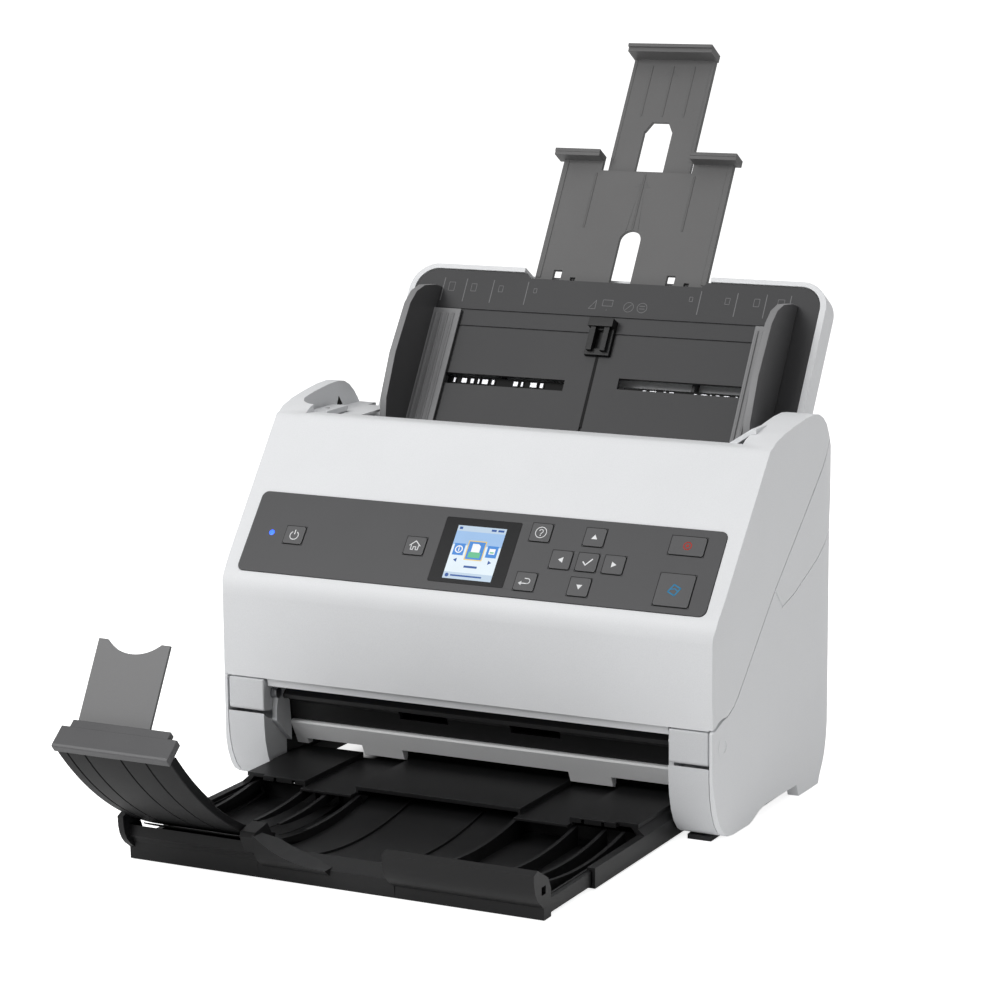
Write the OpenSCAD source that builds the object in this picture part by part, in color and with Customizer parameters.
// Desktop sheet fed document scanner.
// Frame: millimetres, +Z up, the front faces -Y, +X is the right hand side seen from the front.
// The origin is on the table, on the centre line, under the middle of the machine's whole length.
// The trays are drawn out: both input extensions, both output trays, the curved flap and stopper.

/* [Body] */
// Half width of the casing at the front corners
front_half = 141.2; // [140.6:0.1:141.6]
// Half width of the casing at the back
rear_half = 145.4; // [144.8:0.1:147]
// Wall thickness of the front cover
wall = 2.6; // [2.2:0.1:3]

/* [Front face] */
// Slope of the control panel above the horizontal
slope = 50.8; // [50.6:0.1:51]
// Length of the control panel across the machine
panel_w = 268.8; // [260:0.2:270]
// Height of the control panel along the slope
panel_h = 48.1; // [46:0.1:49]
// Gap around each button
button_gap = 0.35; // [0.2:0.05:0.5]

/* [Cover hinge] */
// Radius of the two hinge pins
pin_r = 3; // [2.5:0.1:3.2]
// Running clearance of the pins in the hinge blocks
pin_clear = 0.05; // [0.02:0.01:0.09]

/* [Input tray] */
// Tilt of the input tray above the horizontal
tray_tilt = 58.3; // [58:0.1:58.6]
// Width of the paper surface
tray_w = 240; // [236:1:242]
// Half of the widest sheet between the edge guides
guide_half = 106; // [105.2:0.1:106.4]
// Width of the first extension
ext1_w = 104; // [100:1:106]
// Width of the second extension
ext2_w = 50; // [46:1:51]

/* [Rollers] */
// Radius of the feed rollers
feed_r = 12; // [11.5:0.1:12]
// Radius of the transport and eject rollers
drive_r = 8; // [7.6:0.1:8]
// Radius of the steel shafts
shaft_r = 3; // [2.5:0.1:3.2]
// Radial clearance of shafts in their bearings
bearing_clear = 0.05; // [0.02:0.01:0.09]

/* [Output trays] */
// Radius of the arc that the curved flap slides along
arc_r = 195; // [194.5:0.1:195.5]
// Thickness of the curved flap
flap_t = 4; // [3.4:0.1:4]
// Length of the stopper plate
stop_len = 54; // [46:1:54]

/* [Hidden] */
$fn = 48;

// ---- paper path, a straight line seen from the side; points are [y, z] ----
path_angle = 40.92;
path_start = [6, 128];
path_normal = [-sin(path_angle), cos(path_angle)];  // towards the cover
lower_face = -0.6;    // guide faces, measured along the normal
upper_face = 1.4;
drive_crown = 0.8;    // tops of the driven rollers
idler_crown = 0.95;   // undersides of the rollers in the cover

// point of the path at y, raised by rise along the normal
function path_point(y, rise) =
  [y, path_start[1] + (y - path_start[0]) * tan(path_angle)] + path_normal * rise;

// ---- axes across the machine ----
hinge_axis = [-95.5, 50.8];
feed_y = -8;
transport_y = -30;
separation_r = 10;
pinch_r = 6;
feed_axis = path_point(feed_y, drive_crown - feed_r);
transport_axis = path_point(transport_y, drive_crown - drive_r);
eject_axis = path_point(-78, drive_crown - drive_r);
separation_axis = path_point(feed_y, idler_crown + separation_r);
pinch_axis = path_point(transport_y, idler_crown + pinch_r);
motor_axis = [0, 58];

// ---- rollers and belts, places across the machine ----
feed_x = [-14, 14];
inner_x = [-32.5, 32.5];
outer_x = [-80, 80];
roller_x = concat(outer_x, inner_x);
feed_half_w = 11.5;
drive_half_w = 12.5;
motor_shaft_r = 2.5;
pulley_r = 7;
inner_lane = 123;     // middle of the belt from the motor
outer_lane = 135.4;   // middle of the belts between the shafts
belt_w = 3.2;
drive_end = 138.2;    // shaft end that carries an outer pulley
idle_end = 134;

// ---- casing ----
trim_x = 150;         // beyond the casing, for parts trimmed to its outline
cover_in = front_half - wall - 0.4;  // inner face of the cover's side walls
frame_half = 138;
frame_back = 32.8;
bay_x = [117, 119.4]; // walls of the bay for the output tray
hole_r = 1.45;
screw_r = 1.4;
// rear sockets: left, right, top
SOCKETS = [[-95, -79, 57], [-65, -51, 56], [-39, -25, 51]];
socket_z = 45;

// ---- helpers ----
function arc_points(y, z, radius, from, to, steps) = [for (i = [0:steps])
  let(angle = from + (to - from) * i / steps)
  [y + radius * cos(angle), z + radius * sin(angle)]];
function reversed(points) = [for (i = [len(points) - 1:-1:0]) points[i]];

// outline given as [y, z], swept from x0 to x1
module prism(x0, x1) {
  translate([x0, 0, 0]) rotate([90, 0, 90]) linear_extrude(x1 - x0) children();
}
// cylinder across the machine
module rod(axis, radius, x0, x1) {
  translate([x0, axis[0], axis[1]]) rotate([0, 90, 0]) cylinder(h = x1 - x0, r = radius);
}
module both() {
  children();
  mirror([1, 0, 0]) children();
}
module box(low, high) { translate(low) cube(high - low); }
// block along the paper path from y0 to y1, between two rises above it
module path_block(x0, x1, y0, y1, rise0, rise1) {
  prism(x0, x1) polygon([path_point(y0, rise0), path_point(y1, rise0),
    path_point(y1, rise1), path_point(y0, rise1)]);
}
module round_rect(width, height, radius) union() {
  square([width - 2 * radius, height], center = true);
  square([width, height - 2 * radius], center = true);
  for (x = [-1, 1], y = [-1, 1])
    translate([x * (width / 2 - radius), y * (height / 2 - radius)]) circle(r = radius);
}

// ======================== casing outlines ================================
// right half of the casing seen from above, [x, y]
plan_right = [[0, -107.2], [front_half - 4.2, -107.2], [front_half - 1.2, -106.6],
 [front_half + 0.2, -104.6], [front_half + 1, -96], [front_half + 2, -62],
 [rear_half - 1, -20], [rear_half - 0.2, 12], [rear_half, 32], [rear_half - 1.2, 42],
 [rear_half - 5, 48.5], [0, 48.5]];
plan_all = concat(plan_right,
  [for (i = [len(plan_right) - 2:-1:1]) [-plan_right[i][0], plan_right[i][1]]]);
module plan(z0, z1) { translate([0, 0, z0]) linear_extrude(z1 - z0) polygon(plan_all); }

// side view outlines, [y, z]
// outer face of the cover, from its bottom edge to the top strip
front_line = concat([[-105.8, 60.6], [-106.3, 76], [-106.3, 104.03]],
 arc_points(-86.3, 104.03, 20, 176, 140.8, 6),
 [[-42.9, 188.95], [-42, 190.2], [-40.6, 191.2], [-38.6, 191.6]]);
// top strip and inner face, back down to the bottom edge
inner_line = [[-27, 190.8], [-25.2, 190.1], [-24.6, 188.6], [-27.2, 188.2], [-38.4, 189],
 [-40, 188.6], [-98.6, 117.2], [-102, 112.4], [-103.7, 104], [-103.7, 76], [-103.3, 60.6]];
// top of the ears
ear_line = [[-38.6, 191.6], [-34, 194.2], [-24, 196.8], [-10, 199], [4, 200.6], [15, 201],
 [22, 200.2], [28, 197.4], [33.4, 193], [37.2, 188.6], [39.6, 185.2]];
// hollow of the ears
ear_hollow = [[-40, 186], [-34, 190.6], [-12, 193.8], [8, 196.2], [20, 197], [26, 195.8],
 [31, 192.6], [35, 188], [37, 184], [26, 172], [10, 150], [-27, 170], [-40, 180]];
// lower edge of the cover, then the upper edge of the side covers
cover_seam = [[26.8, 171.2], [-34, 118.6], [-78.6, 73.4], [-84, 68.9], [-91, 65.8],
 [-97, 64.6], [-102, 62.6], [-105.8, 60.6]];
side_seam = [[-105.6, 60.1], [-102, 61.9], [-97, 63.9], [-91, 65.1], [-84, 68.2],
 [-78.2, 72.8], [-33.6, 118], [27.3, 170.5]];
// lower front curve of the casing, going down
chin_line = [[-105.9, 35], [-104.9, 26], [-102.6, 17.5], [-99, 10.5], [-95, 6],
 [-90.6, 3.4], [-84, 2.6]];
// upper back curve of the casing, going down
shoulder_line = [[39.8, 184.6], [43.4, 178], [46.6, 169.6], [45.8, 163.6], [41.6, 152]];
side_line = concat(shoulder_line, [[40.4, 140], [40.4, 32], [39, 24], [35.6, 16], [31, 10],
 [27.6, 5], [26, 1.2], [-1, 1.2], [-4, 8], [-44, 8], [-52, 6.6], [-60, 3.6], [-64, 2.6]],
 reversed(chin_line), [[-106.2, 59.4]], side_seam);
// hollow behind the side covers
side_hollow = [[37, 181], [40.4, 174], [41, 168], [38, 152], [37.4, 32], [33, 17], [27, 10],
 [-44, 11], [-52, 9.6], [-66, 6], [-88, 7], [-97, 14], [-101, 26], [-102.4, 42],
 [-102.4, 57], [-97, 60.6], [-84, 64.6], [-76, 70.6], [-32, 114.6], [28, 167]];
// shallow parting line on the side covers
parting_line = [[-34.4, 117.6], [-33.6, 118.2], [-24.6, 108], [-10, 111.6], [22, 124.8],
 [41, 136.6], [41, 135.8], [22.2, 124], [-9.8, 110.9], [-24.9, 107]];

// ======================== front cover ====================================
pocket_c = [-127.4, -20];   // round corner of the finger pocket in the left ear
pocket_r = 10;
pocket_z = 186.2;           // floor of the pocket
// finger pocket seen from above, grown by grow, reaching back to y1
module pocket(grow, y1) {
  radius = pocket_r + grow;
  polygon(concat(arc_points(pocket_c[0], pocket_c[1], radius, 180, 270, 8),
    [[-110, pocket_c[1] - radius], [-110, y1], [pocket_c[0] - radius, y1]]));
}
module cover_side() {
  prism(cover_in, trim_x) polygon(concat(front_line, ear_line, cover_seam));
  // ear: hollow, open below
  difference() {
    prism(127, trim_x) polygon(concat([[-42.9, 188.95], [-38.6, 191.6]], ear_line,
      [[26.8, 171.2], [10, 156.9], [-26, 180]]));
    prism(129.2, cover_in) polygon(ear_hollow);
  }
}
module pocket_walls() {
  intersection() {
    prism(-144, pocket_c[0]) polygon(concat([[-38, 184.9], [-38, 191.4]],
      [for (point = ear_line) if (point[1] > 185) point], [[38, 184.9]]));
    translate([0, 0, 184]) linear_extrude(30) pocket(6.5, 45);
  }
  box([-128, -31.8, 184.9], [-113, 30, pocket_z]);
  box([-128, -31.8, 184.9], [-113, -26.5, 188]);
}
module cover_shell() color("whitesmoke") difference() {
  intersection() {
    plan(50, 210);
    union() {
      // sloping front face and top strip
      prism(-trim_x, trim_x) polygon(concat(front_line, inner_line));
      both() cover_side();
      pocket_walls();
      // ramps from the stack's throat up to the ears
      both() translate([0, 27, 0]) rotate([90, 0, 0]) linear_extrude(54)
        polygon([[112, 188.6], [127.6, 198.8], [130, 198.8], [130, 196.2],
          [127.6, 196.2], [113.4, 186.4]]);
      // throat wall that guides the stack to the rollers
      prism(-129, 129) polygon([[-27.4, 189.6], [-24.6, 188.6], [5.6, 143.6], [4, 142.2]]);
      // bottom lip over the output slot
      prism(-115.6, 115.6) polygon([[-104, 60.6], [-102.9, 56], [-101.2, 56],
        [-100.6, 61.5], [-103.6, 64]]);
      // stiffening ribs behind the face
      for (x = [-90, -40, 40, 90]) prism(x - 0.8, x + 0.8)
        polygon([[-103.8, 80], [-103.8, 104], [-101, 114], [-96, 110], [-98, 90]]);
    }
  }
  // seat of the control panel
  panel_frame() translate([0, 0, -1.6]) linear_extrude(5) round_rect(panel_w, panel_h, 4);
  // opening for buttons and display below the seat
  panel_frame() translate([-126, -20.5, -8]) cube([252, 41, 9]);
  // the lower front corners stop above the side covers
  both() rod(hinge_axis, 14.7, 138.3, trim_x);
  both() prism(138.3, trim_x) polygon([[-110, 50], [-110, 60.6], [-105.8, 60.6],
    [-102, 62.6], [-97, 64.6], [-97, 50]]);
  // finger pocket, open to the middle and the back
  translate([0, 0, pocket_z]) linear_extrude(30) pocket(0, 45);
  // hole for the open lever
  box([-136, -20.5, 184], [-125, 5.5, 187]);
}
module open_lever() color("gainsboro") union() {
  prism(-135.6, -125.4) polygon([[-20, 186.6], [3, 186.6], [5, 188], [5, 189.6],
    [-18, 189.6], [-20, 188.4]]);
  prism(-134, -130) polygon([[-2, 180], [3, 180], [3, 187], [-2, 187]]);
}

// ---- control panel: local x across, y up the slope, z out of the face ----
module panel_frame() { translate([0, -86.5, 135.45]) rotate([slope, 0, 0]) children(); }
// name, centre across, centre along the slope, width, height
BUTTONS = [
  ["power", -106.6, -0.9, 11.2, 10.2], ["home", -34.6, -0.4, 11.2, 10.2],
  ["help", 33.6, 13.9, 11.2, 10.2], ["back", 33.2, -14.5, 11.2, 10.2],
  ["up", 63.7, 14, 11.2, 10.2], ["left", 49, -0.4, 11.2, 10.2],
  ["ok", 63.7, -0.4, 11.2, 10.2], ["right", 78.4, -0.4, 11.2, 10.2],
  ["down", 63.3, -14.5, 11.2, 10.2], ["stop", 114.8, 13.9, 18.9, 10.4],
  ["start", 114.5, -11.1, 19, 18]];
window_size = [43.3, 37.6];
window_y = -0.4;
light_x = -120.7;
light_y = -0.4;
light_r = 1.5;
module control_panel() color("dimgray") panel_frame() difference() {
  translate([0, 0, -1.5]) linear_extrude(2) round_rect(panel_w - 0.5, panel_h - 0.5, 3.8);
  for (button = BUTTONS) translate([button[1], button[2], -3]) linear_extrude(6)
    round_rect(button[3] + 2 * button_gap, button[4] + 2 * button_gap, 1.5);
  translate([0, window_y, -3]) linear_extrude(6)
    round_rect(window_size[0] + 0.2, window_size[1] + 0.2, 1);
  translate([light_x, light_y, -3]) cylinder(h = 6, r = light_r + 0.05);
}
// push button: cap, retaining flange and stem
module key(name) {
  button = [for (entry = BUTTONS) if (entry[0] == name) entry][0];
  color("dimgray") panel_frame() translate([button[1], button[2], 0]) union() {
    translate([0, 0, -1.4]) linear_extrude(2.4) round_rect(button[3], button[4], 1.2);
    translate([0, 0, -2.7]) linear_extrude(1.5)
      round_rect(button[3] + 0.4, button[4] + 0.4, 1.2);
    translate([0, 0, -5]) cylinder(h = 2.8, r = 1.6);
  }
}
module display_window() color([0.06, 0.06, 0.07]) panel_frame()
  translate([0, window_y, -0.7]) linear_extrude(1.3)
    round_rect(window_size[0], window_size[1], 0.9);
module display_screen() color("lightsteelblue") panel_frame()
  translate([0, -1.4, -2.4]) linear_extrude(1.6) square([32, 34], center = true);
module status_light() color("royalblue") panel_frame()
  translate([light_x, light_y, -4]) union() {
    cylinder(h = 4.6, r = light_r);
    cylinder(h = 2, r = 2.2);
  }

// ---- inside of the cover ----
module hinge_blocks() color("gainsboro") both() difference() {
  union() {
    prism(116.6, front_half - wall - 0.6) polygon([[-106, 59.8], [-106, 43.4], [-105, 42.6],
      [-99, 41.4], [-92, 41.4], [-86.8, 44], [-85.5, 50.8], [-85.5, 59.8]]);
    prism(120, 136) polygon([[-102.6, 59.4], [-102.6, 74], [-99.6, 74], [-90, 60]]);
  }
  rod(hinge_axis, pin_r + pin_clear, 110, 145);
}
// inner guide of the cover: runs parallel to the paper path
module upper_guide() color([0.2, 0.2, 0.21]) difference() {
  prism(-126, 126) polygon([path_point(2, upper_face), path_point(-88.5, upper_face),
    path_point(-90, 3.2), path_point(-89, 5), path_point(0, 5), [2.6, 141.6], [4, 138]]);
  // front corners
  both() path_block(112.8, 130, -74, -95, 0, 12);
  // separation roller
  path_block(-31, 31, 4, -19.5, -5, 22);
  // sensor
  path_block(-111, 111, -37.2, -58.8, 0, 12);
  // openings over the transport and eject rollers
  for (x = roller_x, y = [-23, -71]) path_block(x - 14, x + 14, y, y - 14, 0, 14);
}
// scanning bar; body, window and hollow are pairs of rises from the path
module sensor(body, window, hollow) difference() {
  path_block(-110, 110, -37.8, -58.2, body[0], body[1]);
  path_block(-107, 107, -39.6, -56.4, window[0], window[1]);
  path_block(-104, 104, -44, -52, hollow[0], hollow[1]);
}
module glass(rise0, rise1) {
  path_block(-106.8, 106.8, -39.8, -56.2, rise0, rise1);
}
module upper_sensor() color("black") sensor([1.9, 16], [1, 3.2], [3, 13]);
module upper_glass() color("lightcyan") glass(1.6, 3.1);
module separation_roller() color("dimgray") union() {
  for (x = feed_x) rod(separation_axis, separation_r, x - feed_half_w, x + feed_half_w);
  rod(separation_axis, shaft_r, -30, 30);
}
module pinch_rollers() color("gray") union() {
  rod(pinch_axis, 1.8, -100, 100);
  for (x = roller_x) rod(pinch_axis, pinch_r, x - 12, x + 12);
}

// ======================== lower unit =====================================
// groove for the tongues of the output tray
module tongue_groove(y0, y1) { box([116, y0, 11.6], [118.4, y1, 14.6]); }
module at_frame_screws(z) {
  for (x = [-128, 128], y = [-74, 28]) translate([x, y, z]) children();
}
module at_rear_screws(y) {
  for (x = [-133.5, 133.5], z = [40, 130]) translate([x, y, z]) rotate([90, 0, 0]) children();
}
module base_frame() color([0.28, 0.28, 0.29]) difference() {
  union() {
    // floor above the tray bay
    box([-frame_half, -69, 21], [frame_half, frame_back, 24]);
    both() {
      box([bay_x[0], -82, 3], [bay_x[1], frame_back, 22]);
      box([bay_x[0], -82, 3], [frame_half, frame_back, 5]);
      box([135.6, -82, 3], [frame_half, frame_back, 22]);
      // upright side frames that carry the shafts
      prism(128.6, 131.6) polygon([[-82, 22], [frame_back, 22], [frame_back, 120],
        [20, 146], [14, 144], path_point(2, lower_face), path_point(-82, lower_face)]);
      // angle brackets at the back
      prism(bay_x[1], frame_half) polygon([[22, 24], [frame_back, 24], [frame_back, 60],
        [31, 60], [31, 27], [22, 27]]);
    }
    // cross members
    box([-131, 23.4, 24], [131, 26, 56]);
    rod([26, 110], 3, -130, 130);
  }
  both() tongue_groove(-90, 40);
  at_frame_screws(0) cylinder(h = 12, r = hole_r);
  for (axis = [feed_axis, transport_axis, eject_axis])
    rod(axis, shaft_r + bearing_clear, -140, 140);
}
module front_pillars() color("gainsboro") both() difference() {
  union() {
    prism(116.6, 138.4) polygon(concat([[-106, 42]], chin_line,
      [[-83, 2.6], [-83, 56], [-85, 60], [-86, 60], [-86, 44]]));
    // pointed web beside the hinge block
    prism(113.4, 117) polygon([[-98, 36], [-98, 42], [-95.5, 56], [-90, 57],
      [-84.6, 44], [-83, 30], [-83, 22]]);
  }
  // relief swept by the hinge block
  rod(hinge_axis, 14.1, 116.3, 139);
  rod(hinge_axis, pin_r, 110, 139);
  tongue_groove(-98, -80);
  // hollow, open to the back
  prism(bay_x[1], 136) polygon([[-80, 0], [-80, 38], [-102, 34], [-101, 26], [-98.6, 19],
    [-95, 13], [-91, 9], [-86, 6], [-80, 6]]);
}
// side is 1 for the right cover, -1 for the left
module side_cover(side) color("whitesmoke") mirror(side > 0 ? [0, 0, 0] : [1, 0, 0]) {
  difference() {
    intersection() {
      plan(0, 210);
      prism(138.8, trim_x) polygon(side_line);
    }
    prism(138, 141.2) polygon(side_hollow);
    rod(hinge_axis, pin_r, 130, 142.4);
    // the parting line is 0.45 deep
    difference() {
      prism(141, trim_x) polygon(parting_line);
      translate([-0.45, 0, 0]) plan(0, 210);
    }
  }
  // boss for the hinge pin
  difference() {
    rod(hinge_axis, 6, 138.8, 142);
    rod(hinge_axis, pin_r, 130, 141.6);
  }
}
module side_cover_left() side_cover(-1);
module side_cover_right() side_cover(1);
module hinge_pins() color("silver") both() rod(hinge_axis, pin_r, 113.4, 141.4);

// socket body grown sideways, up and down by gap
module sockets(gap, y0, y1) {
  for (socket = SOCKETS) box([socket[0] - gap, y0, socket_z - gap],
    [socket[1] + gap, y1, socket[2] + gap]);
}
module rear_cover() color("whitesmoke") difference() {
  union() {
    prism(-138.6, 138.6) polygon([[37.6, 32], [37.6, 151.8], [40.4, 151.8], [40.4, 32],
      [39, 24], [35.6, 16], [33.4, 18], [36.4, 25]]);
    both() {
      prism(127.6, 138.6) polygon(concat([[37.6, 144], [40.4, 144]],
        reversed(shoulder_line), [[37.6, 182], [42.8, 169.6], [39, 156]]));
      prism(127.6, 129.6) polygon([[14, 148], [37.7, 148], [44.6, 166], [44.8, 169.6],
        [41.6, 178], [39.2, 183.4], [28, 170.6], [14, 158]]);
    }
  }
  at_rear_screws(45) cylinder(h = 12, r = hole_r);
  sockets(1, 30, 50);
  // cooling slots
  for (i = [0:7]) box([30 + i * 9, 30, 44], [34 + i * 9, 50, 74]);
}
module rear_sockets() color("black") sockets(0, 29.05, 41);
module main_board() color("darkgreen") union() {
  box([-104, 27.4, 30], [104, 29, 104]);
  for (i = [0:3]) box([-70 + i * 38, 24.4, 62], [-52 + i * 38, 27.6, 80]);
}
module screw(head_h, shank_h) {
  cylinder(h = head_h, r = 3);
  cylinder(h = shank_h, r = screw_r);
}
module case_screws() color("silver") {
  at_frame_screws(1.4) screw(1.6, 9);
  at_rear_screws(41.8) screw(1.4, 7);
}
module rubber_feet() color([0.12, 0.12, 0.12]) both() {
  box([121, -92, 0], [134, -80, 2.5]);
  box([121, 8, 0], [134, 22, 2.5]);
}
module crossbar() color("silver") union() {
  prism(-113.2, 113.2) polygon([[-84.2, 32.2], [-83.6, 33.2], [-82.4, 33.6],
    [-74, 33.6], [-74, 25.6], [-77.4, 22.4], [-78.8, 22.6]]);
  // tabs hanging from the bar
  both() prism(48.6, 72.8)
    polygon([[-79.4, 23.8], [-76.2, 17], [-73.4, 16], [-72.4, 18], [-74, 30]]);
  both() prism(106.4, 113.2) polygon([[-79.4, 23.8], [-77.2, 19.4], [-73, 19.4], [-74, 30]]);
}
module exit_guide() color([0.1, 0.1, 0.1]) difference() {
  prism(-113.2, 113.2) polygon([path_point(-87.6, lower_face), [-84.6, 44], [-82, 33.8],
    [-79.6, 33.8], [-81.6, 44], path_point(-84, -3), path_point(-62, -3),
    path_point(-62, lower_face)]);
  for (x = roller_x) rod(eject_axis, drive_r + 1.2, x - 14.2, x + 14.2);
  for (x = inner_x) box([x - 14.2, -90, 41], [x + 14.2, -79, 60]);
}
module lower_guide() color([0.24, 0.24, 0.25]) difference() {
  prism(-118, 118) polygon([path_point(-61, lower_face), path_point(6.3, lower_face),
    [22.3, 152.8], [24.4, 151.5], [9.6, 127.2], path_point(7, -3.4), path_point(-61, -3.4)]);
  for (x = feed_x) rod(feed_axis, feed_r + 1, x - feed_half_w - 1, x + feed_half_w + 1);
  for (x = roller_x) rod(transport_axis, drive_r + 1.2, x - 14, x + 14);
  path_block(-111, 111, -37.4, -58.6, -5, 3);
}
module lower_sensor() color("black") sensor([-15, -0.9], [-2.1, 0], [-12, -2]);
module lower_glass() color("lightcyan") glass(-2, lower_face);

// ---- drive ----
module feed_motor() color("gray") union() {
  rod(motor_axis, 21, -118, -84);
  rod(motor_axis, motor_shaft_r, -125.5, -84);
  // mounting plate
  prism(-119.4, -118) polygon([[-20, 24.2], [22, 24.2], [22, 80], [-20, 80]]);
}
// closed line around two equal circles
function belt_line(from, to, radius) =
  let(run = to - from, turn = atan2(run[1], run[0])) concat(
    arc_points(to[0], to[1], radius, turn - 90, turn + 90, 16),
    arc_points(from[0], from[1], radius, turn + 90, turn + 270, 16));
module belt(from, to, lane) {
  prism(lane - belt_w / 2, lane + belt_w / 2) difference() {
    polygon(belt_line(from, to, pulley_r + 1.4));
    polygon(belt_line(from, to, pulley_r + 0.1));
  }
}
module drive_belts() color([0.1, 0.1, 0.1]) {
  belt(motor_axis, transport_axis, -inner_lane);
  belt(transport_axis, feed_axis, -outer_lane);
  belt(transport_axis, eject_axis, outer_lane);
}
module inner_pulley(axis) { rod(axis, pulley_r, -inner_lane - 2.2, -inner_lane + 2.2); }
module outer_pulley(axis, lane) { rod(axis, pulley_r, lane - 2, lane + 2); }
module motor_pulley() color("ivory") difference() {
  inner_pulley(motor_axis);
  rod(motor_axis, motor_shaft_r + bearing_clear, -126, -120);
}
module rollers(axis, radius, places, half_w) difference() {
  for (x = places) rod(axis, radius, x - half_w, x + half_w);
  rod(axis, shaft_r, -140, 140);
}
module feed_shaft() color("silver") union() {
  rod(feed_axis, shaft_r, -drive_end, idle_end);
  outer_pulley(feed_axis, -outer_lane);
}
module feed_rollers() color([0.22, 0.22, 0.23])
  rollers(feed_axis, feed_r, feed_x, feed_half_w);
module transport_shaft() color("silver") union() {
  rod(transport_axis, shaft_r, -drive_end, drive_end);
  outer_pulley(transport_axis, -outer_lane);
  inner_pulley(transport_axis);
  outer_pulley(transport_axis, outer_lane);
}
module transport_rollers() color([0.22, 0.22, 0.23])
  rollers(transport_axis, drive_r, roller_x, drive_half_w);
module eject_shaft() color("silver") union() {
  rod(eject_axis, shaft_r, -idle_end, drive_end);
  outer_pulley(eject_axis, outer_lane);
}
module eject_rollers() color([0.16, 0.16, 0.17])
  rollers(eject_axis, drive_r, roller_x, drive_half_w);

// ======================== input tray ======================================
// local x across, y up the tray, z out of the paper surface
tray_origin = [0, 75.7, 240.2];
rib_x = 58.2;         // ribs under the panel
ext1_z = -7.4;        // undersides of the two extensions
ext2_z = -10.2;
ext2_end = 164.4;     // upper end of the second extension
module tray_frame() { translate(tray_origin) rotate([tray_tilt, 0, 0]) children(); }
// sheet with two rounded upper corners
module tray_outline(width, y0, y1, radius) union() {
  translate([-width / 2, y0]) square([width, y1 - y0 - radius]);
  translate([-width / 2 + radius, y0]) square([width - 2 * radius, y1 - y0]);
  for (side = [-1, 1]) translate([side * (width / 2 - radius), y1 - radius])
    circle(r = radius);
}
module tray_shell() color("whitesmoke") tray_frame() difference() {
  translate([0, 0, -13]) linear_extrude(13.6) tray_outline(tray_w + 12.4, -100, 23, 16);
  translate([0, 0, -11]) linear_extrude(15) tray_outline(tray_w + 5.4, -101, 20.2, 13);
  // slot for the extensions
  translate([-56.4, 10, -11]) cube([112.8, 20, 12]);
}
module tray_panel() color([0.27, 0.27, 0.28]) tray_frame() difference() {
  union() {
    translate([0, 0, -2.2]) linear_extrude(2.2) tray_outline(tray_w + 4.6, -100, 19.8, 12.6);
    // ribs that carry the racks and the extension
    for (side = [-1, 1]) translate([side * rib_x - 1, -98, -10.8]) cube([2, 116, 8.8]);
  }
  // stepped top edge over the extension
  translate([-52, 16.8, -3]) cube([104, 8, 6]);
  both() translate([51.9, 16.8, -3]) linear_extrude(6)
    polygon([[0, 0], [3.6, 3.6], [3.6, 8], [0, 8]]);
  // slots for the guide arms
  translate([-97, -49.4, -3]) cube([81, 6.4, 6]);
  translate([16, -46.2, -3]) cube([81, 6.4, 6]);
  // seams
  for (y = [-4.2, -14.2]) translate([-104, y - 0.3, -0.5]) cube([208, 0.6, 2]);
  translate([-0.9, -99, -1.2]) cube([1.8, 72, 2]);
  // seat of the sheet flag
  translate([-7.6, -28, -3]) cube([15.2, 21.4, 6]);
  // rack grooves through the ribs
  for (side = [-1, 1]) translate([side * rib_x - 2, -60.4, -5]) cube([4, 29, 2.9]);
}
module sheet_flag() color([0.06, 0.06, 0.06]) tray_frame() difference() {
  union() {
    translate([-7.4, -27.8, -2.1]) cube([14.8, 21, 4.6]);
    translate([-7.4, -12, 2]) cube([14.8, 5, 4]);
    for (x = [-5.6, 2.6]) translate([x, -26, 2]) cube([3, 18, 3]);
  }
  translate([-2.6, -24, 0.4]) cube([5.2, 11, 8]);
}

// ---- edge guides, coupled by two racks and a pinion ----
gear_module = 1;
pinion_teeth = 16;
pinion_r = gear_module * pinion_teeth / 2;   // pitch radius
tooth_pitch = PI * gear_module;
pinion_y = -45;
rack_z = -4.4;
rack_h = 2;
arm_x = 95.6;         // outer end of the racks and arms
arm_w = 6;
fin_t = 4;
// side view of a guide fin, [y, z]
fin_line = [[9, 0.4], [7, 7], [1, 19], [-6, 26], [-15, 29.6], [-46, 31.6], [-72, 28.6],
 [-84, 23], [-92, 12], [-96, 0.4]];
// side is 1 for the right guide, -1 for the left
module guide_body(side) {
  fin_x = side > 0 ? guide_half : -guide_half - fin_t;
  plate_x = side > 0 ? guide_half - 17 : -guide_half - 0.1;
  ridge_x = side > 0 ? guide_half - 15.6 : -guide_half + 1.6;
  union() {
    translate([fin_x, 0, 0]) rotate([90, 0, 90]) linear_extrude(fin_t) polygon(fin_line);
    translate([plate_x, -95, 0.4]) cube([17.1, 90, 1.8]);
    for (i = [0:3]) translate([ridge_x + i * 3.6, -94, 2]) cube([1.2, 86, 0.8]);
    // lip at the upper edge of the fin
    translate([fin_x, -4, 0.4]) cube([fin_t, 12, 2]);
  }
}
module tooth(height) { polygon([[-0.85, 0], [0.85, 0], [0.45, height], [-0.45, height]]); }
// rack lying along x, teeth towards +y, its pitch line at y = 0
module rack(x0, x1) union() {
  translate([x0, -4.2, 0]) cube([x1 - x0, 3.2, rack_h]);
  linear_extrude(rack_h)
    for (i = [ceil((x0 + 1) / tooth_pitch):floor((x1 - 1) / tooth_pitch - 1)])
      translate([i * tooth_pitch, -1.1]) tooth(1.9);
}
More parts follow.
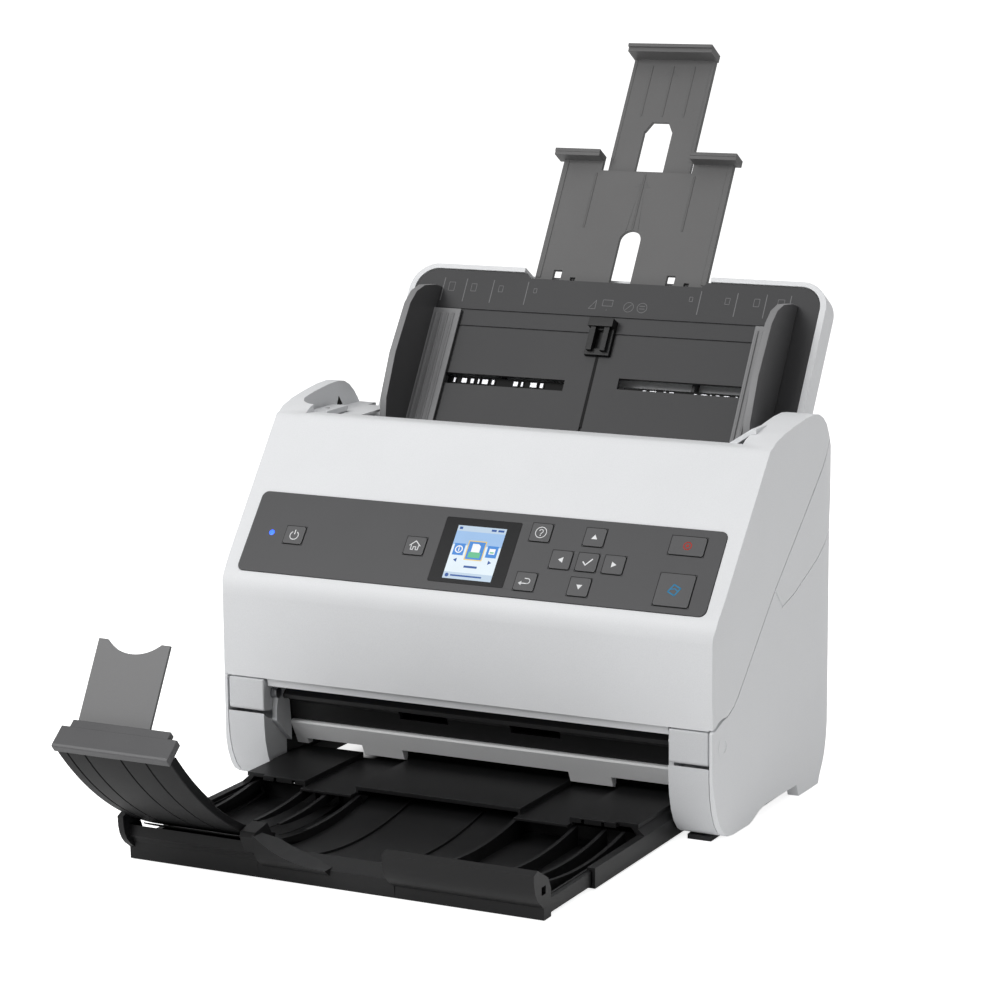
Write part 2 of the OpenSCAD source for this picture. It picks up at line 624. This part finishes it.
// the arm passes its slot, the rack runs below the pinion
module edge_guide_left() color([0.42, 0.42, 0.43]) tray_frame() union() {
  guide_body(-1);
  translate([-arm_x, -48.6, -3.4]) cube([arm_w, 4.8, 4.2]);
  translate([-arm_x, -57.2, rack_z]) cube([arm_w, 13.4, rack_h]);
  translate([0, pinion_y - pinion_r, rack_z]) rack(-arm_x, 8);
}
// the same with the rack above the pinion
module edge_guide_right() color([0.42, 0.42, 0.43]) tray_frame() union() {
  guide_body(1);
  translate([arm_x - arm_w, -45.4, -3.4]) cube([arm_w, 4.8, 4.2]);
  translate([arm_x - arm_w, -45.4, rack_z]) cube([arm_w, 12.6, rack_h]);
  translate([0, pinion_y + pinion_r, rack_z]) mirror([0, 1, 0]) rack(-8, arm_x);
}
module guide_pinion() color("ivory") tray_frame() translate([0, pinion_y, rack_z]) union() {
  linear_extrude(rack_h) union() {
    circle(r = pinion_r - 1.15);
    for (i = [0:pinion_teeth - 1]) rotate((i + 0.5) * 360 / pinion_teeth)
      translate([0, pinion_r - 1.4]) tooth(2.1);
  }
  translate([0, 0, -0.4]) cylinder(h = 0.5, r = 3);
}

// ---- extensions ----
module extension_lower() color([0.42, 0.42, 0.43]) tray_frame() difference() {
  union() {
    translate([-ext1_w / 2, -4, ext1_z]) cube([ext1_w, 92, 2.4]);
    // two horns with upturned ends, and the side rails
    for (side = [-1, 1]) {
      translate([side > 0 ? 27.6 : -ext1_w / 2, 80, ext1_z])
        cube([ext1_w / 2 - 27.6, 15, 2.4]);
      translate([side > 0 ? 27.6 : -55.5, 93.4, ext1_z]) cube([27.9, 4, 9.6]);
      translate([side > 0 ? 27.6 : -55.5, 95.4, 0]) cube([27.9, 2, 2.6]);
      translate([side * 50.4 - 1.6, 20, ext1_z]) cube([3.2, 74, 2.8]);
    }
    for (x = [-30, 0, 30]) translate([x - 0.5, 52, -5.2]) cube([1, 34, 0.5]);
  }
  // round-ended slot on the centre line
  translate([-6.4, -10, -9]) cube([12.8, 55, 6]);
  translate([0, 45, -9]) cylinder(h = 6, r = 6.4);
  // square windows, each with an L-shaped piece left in
  for (side = [-1, 1]) translate([side * 34.5 - 7, 9, -9]) difference() {
    cube([14, 16, 6]);
    translate([5, 4, -1]) cube([6, 20, 8]);
    translate([10, 12, -1]) cube([5, 8, 8]);
  }
}
module extension_upper() color([0.42, 0.42, 0.43]) tray_frame() difference() {
  union() {
    translate([-ext2_w / 2, 82, ext2_z]) cube([ext2_w, 80, 2.4]);
    // upturned end
    translate([-25.8, ext2_end - 4.4, ext2_z]) cube([51.6, 4.4, 12.4]);
    translate([-25.8, ext2_end - 2, 1]) cube([51.6, 2, 2.6]);
    for (side = [-1, 1])
      translate([side * (ext2_w / 2 - 1) - 1, 96, ext2_z]) cube([2, 64, 2.6]);
    for (x = [-13, 0, 13]) translate([x - 0.5, 124, -8]) cube([1, 32, 0.5]);
  }
  // slot with a tapered end
  translate([-8.6, 80, -12]) cube([17.2, 34.5, 6]);
  translate([-8.6, 80, -12]) linear_extrude(6)
    polygon([[0, 34], [17.2, 34], [13.4, 40.6], [3.8, 40.6]]);
}

// ======================== output trays ====================================
deck_front = -131.5;
deck_back = -72;
deck_top = 16.8;
rail_front = -189;
rail_x = 115.5;
module output_tray() color([0.13, 0.13, 0.13]) difference() {
  union() {
    box([-112, deck_front, 14.8], [112, deck_back, deck_top]);
    both() {
      // sunken channel and its walls
      box([45.8, deck_front, 12.6], [47.2, deck_back, deck_top]);
      box([75.8, -134, 12.6], [77.2, deck_back, deck_top]);
      box([76, -134, 14.2], [101, -120, deck_top]);
      prism(46.6, 76.4) polygon([[-138, 12.6], [deck_back, 12.6], [deck_back, 13.9],
        [-138, 13.8]]);
      // wing that falls to the rail
      translate([0, deck_back, 0]) rotate([90, 0, 0]) linear_extrude(deck_back - deck_front)
        polygon([[100, deck_top], [109, deck_top], [115.4, 11.2], [115.4, 9.4],
          [112.6, 9.4], [108, 14.8], [100, 14.8]]);
      // C rail for the second tray
      box([113.9, rail_front, 1], [rail_x, deck_back, 11.2]);
      box([111.2, rail_front, 9.8], [rail_x, deck_back, 11.2]);
      box([111.2, rail_front, 1], [rail_x, deck_back, 2]);
      // tongue that runs in the frame
      box([115, -97, 11.9], [118, deck_back, 14.3]);
      box([114, -97, 9.8], [116.2, deck_back, 14.3]);
    }
  }
  both() {
    box([47.2, -150, 13.9], [75.8, -60, 20]);
    for (x = [82, 93]) box([x, -136, 12], [x + 1.6, -131, 16.2]);
  }
}

// ---- arc of the curved flap; angles go from straight down towards the front ----
arc_y = -156;
arc_z = 198.5;
flap_out = arc_r + 1.5;
flap_in = flap_out - flap_t;
flap_back = 18;              // angles of the two ends
flap_front = 50.4;
band_front = flap_front + 1.2;
band_out = flap_out + 1.4;
flap_x = [-109.4, -45];
module sector(r0, r1, a0, a1, x0, x1) {
  angles = [for (i = [0:24]) a0 + (a1 - a0) * i / 24];
  translate([x0, arc_y, arc_z]) rotate([0, 90, 0]) linear_extrude(x1 - x0)
    polygon(concat([for (angle = angles) [r1 * cos(angle), -r1 * sin(angle)]],
      [for (angle = reversed(angles)) [r0 * cos(angle), -r0 * sin(angle)]]));
}

// ---- second output tray ----
ext_z = 0.3;                 // underside, just off the table
// side view of the front lip, [y, z]
fascia = [[-251, 24.6], [-250.6, 19.4], [-249.6, 15.6], [-247.8, 12.4], [-245.2, 9.6],
 [-242.4, 7.6], [-240.6, 6.2], [-240.4, ext_z], [-233, ext_z], [-233, 14], [-236, 20],
 [-247, 26.2]];
// tops of the ribs: an arc that stays below the first tray when the extension slides in
rib_y = -175;
rib_r = 243;
rib_z = 8.3 + rib_r;
function rib_top(y, drop) = rib_z - drop - sqrt(rib_r * rib_r - (y - rib_y) * (y - rib_y));
module rib(x0, x1, y0, y1, drop = 0) {
  prism(x0, x1) polygon(concat([[y0, ext_z]],
    [for (i = [0:20]) let(y = y0 + (y1 - y0) * i / 20) [y, rib_top(y, drop)]],
    [[y1, ext_z]]));
}
module extension_front() {
  // bottom strip
  box([-113.6, -240.4, ext_z], [113.6, -236, 6.2]);
  // right half of the fascia
  prism(34, 113.6) polygon(fascia);
  // lower fascia below the flap
  prism(-110.6, -40) polygon([[-245.6, 13.8], [-243, 11.6], [-241.4, 9.4], [-241.2, 6.4],
    [-240.4, ext_z], [-210, ext_z], [-214, 5.4], [-244.4, 19]]);
  // block beside the flap and the finger scoop
  prism(-44.4, -36) polygon([[-246, 14.6], [-243, 11.4], [-241.4, 9.4], [-240.4, ext_z],
    [-214, ext_z], [-216, 9], [-233, 20], [-238, 27.6], [-249, 25.6], [-250, 23]]);
  prism(-37, 35) polygon([[-241.4, 9.4], [-241.2, 6.4], [-240.4, ext_z], [-226, ext_z],
    [-222, 6.4], [-228, 12.4]]);
  // finger scoop: the raised lip falls in a curve from the block to the middle
  intersection() {
    prism(-37, 0) polygon(fascia);
    translate([0, -226, 0]) rotate([90, 0, 0]) linear_extrude(30)
      polygon(concat([[-37, 0.4]], [for (i = [0:12]) let(t = i / 12)
        [37 * t - 37, 10.2 + 14.6 * (1 - t) * (1 - t)]], [[0, 0.4]]));
  }
  // end cap at the left
  prism(-113.6, -110.4) polygon(fascia);
}
module extension_ribs() {
  // smooth centre floor, a thin curved skin
  difference() {
    rib(-44.4, 44.4, -229, -120, 4.4);
    prism(-43.4, 43.4) translate([0, -1.8]) polygon(concat([[-227, 1.6]],
      [for (i = [0:20]) let(y = -227 + 106 * i / 20) [y, max(1.7, rib_top(y, 4.4))]],
      [[-121, 1.6]]));
  }
  for (x = [-45.6, 45.6]) rib(x - 1.1, x + 1.1, -232, -131);
  for (x = [-20, 22]) rib(x - 0.6, x + 0.6, -228, -122, 3.2);
  for (x = [78, 94, 104]) rib(x - 1, x + 1, -235, -131, 0.2);
  // short ribs behind the flap
  intersection() {
    union() for (x = [-107, -76, -62]) rib(x - 1, x + 1, -184, -119.6, -0.9);
    box([-112, -190, 0], [-44, -100, 12.2]);
  }
}
module output_extension() color([0.12, 0.12, 0.12]) difference() {
  union() {
    // floor
    box([-110.6, -239, ext_z], [110.6, -118, 1.6]);
    // rear wall, raised on the left
    box([-110, -120, ext_z], [110, -118, 8.4]);
    box([-110, -122, ext_z], [-44, -118.6, 9.6]);
    extension_front();
    extension_ribs();
    // side walls that run in the C rails
    both() box([109.8, -237, ext_z], [110.9, -118, 9.6]);
    both() box([109.8, -236, 2.4], [113.5, -118, 9.2]);
  }
  // bay of the curved flap
  sector(flap_in - 0.35, flap_out + 0.35, -9.2, 60, -109.8, -44.6);
  // open underside of the centre floor
  box([-43.4, -226.9, -1], [43.4, -121.1, 1.7]);
  // nothing reaches below the underside
  box([-130, -300, -20], [130, -100, ext_z]);
  // small hole at the corner of the fascia
  box([108, -243, 13], [115, -238.6, 17]);
}

module curved_flap() color([0.19, 0.19, 0.19]) difference() {
  union() {
    sector(flap_in, flap_out, flap_back, flap_front, flap_x[0], flap_x[1]);
    // raised side edges
    for (x = [flap_x[0], flap_x[1] - 1.8])
      sector(flap_in - 1, flap_in + 0.5, 36, flap_front, x, x + 1.8);
    // end band
    sector(flap_in - 7, band_out, flap_front - 0.2, band_front, flap_x[0], flap_x[1]);
    sector(flap_in - 11.4, flap_out - 4, flap_front - 0.2, band_front, -105, -50.4);
  }
  // recess for the folded stopper
  sector(flap_in - 1, flap_in + 1.9, flap_front - 19, flap_front - 1.1, -106, -64.8);
  // grooves in the outer face
  for (x = [-104, -94, -74])
    sector(flap_out - 0.5, flap_out + 1, 24, flap_front - 0.6, x, x + 0.8);
}

stop_r = flap_in - 1.5;      // place of the stopper's hinge on the arc
stop_angle = flap_front - 1.9;
stop_fold = 110;             // opening angle of the stopper
stop_x = -105.4;
stop_w = 40;
// local: the hinge axis is at the origin, the plate reaches towards +Y
module stopper_plate() color("gray")
  translate([0, arc_y - stop_r * sin(stop_angle), arc_z - stop_r * cos(stop_angle)])
  rotate([stop_fold - stop_angle, 0, 0]) difference() {
    union() {
      translate([stop_x, 0.2, -0.9]) cube([stop_w, stop_len, 1.6]);
      translate([stop_x, 0, 0]) rotate([0, 90, 0]) cylinder(h = stop_w, r = 1.2);
    }
    translate([stop_x + stop_w / 2, stop_len + 16.5, -3]) cylinder(h = 6, r = 22.3);
    for (x = [-101.2, -69.8]) translate([x, 3.4, -3]) cylinder(h = 6, r = 1.7);
  }

// ---- placing -------------------------------------------------------------
// drawn with Y = 0 inside the casing, then moved to put the middle of its length at the origin
y_first = arc_y - band_out * sin(band_front);
y_last = tray_origin[1] + ext2_end * cos(tray_tilt) - ext2_z * sin(tray_tilt);
module place() translate([0, -(y_first + y_last) / 2, 0]) children();

place() base_frame();
place() front_pillars();
place() side_cover_left();
place() side_cover_right();
place() rear_cover();
place() rubber_feet();
place() crossbar();
place() exit_guide();
place() lower_guide();
place() lower_sensor();
place() lower_glass();
place() hinge_pins();
place() feed_motor();
place() drive_belts();
place() main_board();
place() rear_sockets();
place() case_screws();
place() tray_shell();
place() tray_panel();
place() sheet_flag();
place() motor_pulley();
place() feed_shaft();
place() feed_rollers();
place() transport_shaft();
place() transport_rollers();
place() eject_shaft();
place() eject_rollers();
place() cover_shell();
place() control_panel();
place() display_window();
place() display_screen();
place() status_light();
place() hinge_blocks();
place() upper_guide();
place() upper_sensor();
place() upper_glass();
place() separation_roller();
place() pinch_rollers();
place() open_lever();
place() key("power");  // power_button
place() key("home");  // home_button
place() key("help");  // help_button
place() key("back");  // back_button
place() key("up");  // up_button
place() key("left");  // left_button
place() key("ok");  // ok_button
place() key("right");  // right_button
place() key("down");  // down_button
place() key("stop");  // stop_button
place() key("start");  // start_button
place() edge_guide_left();
place() edge_guide_right();
place() guide_pinion();
place() extension_lower();
place() extension_upper();
place() output_tray();
place() output_extension();
place() curved_flap();
place() stopper_plate();
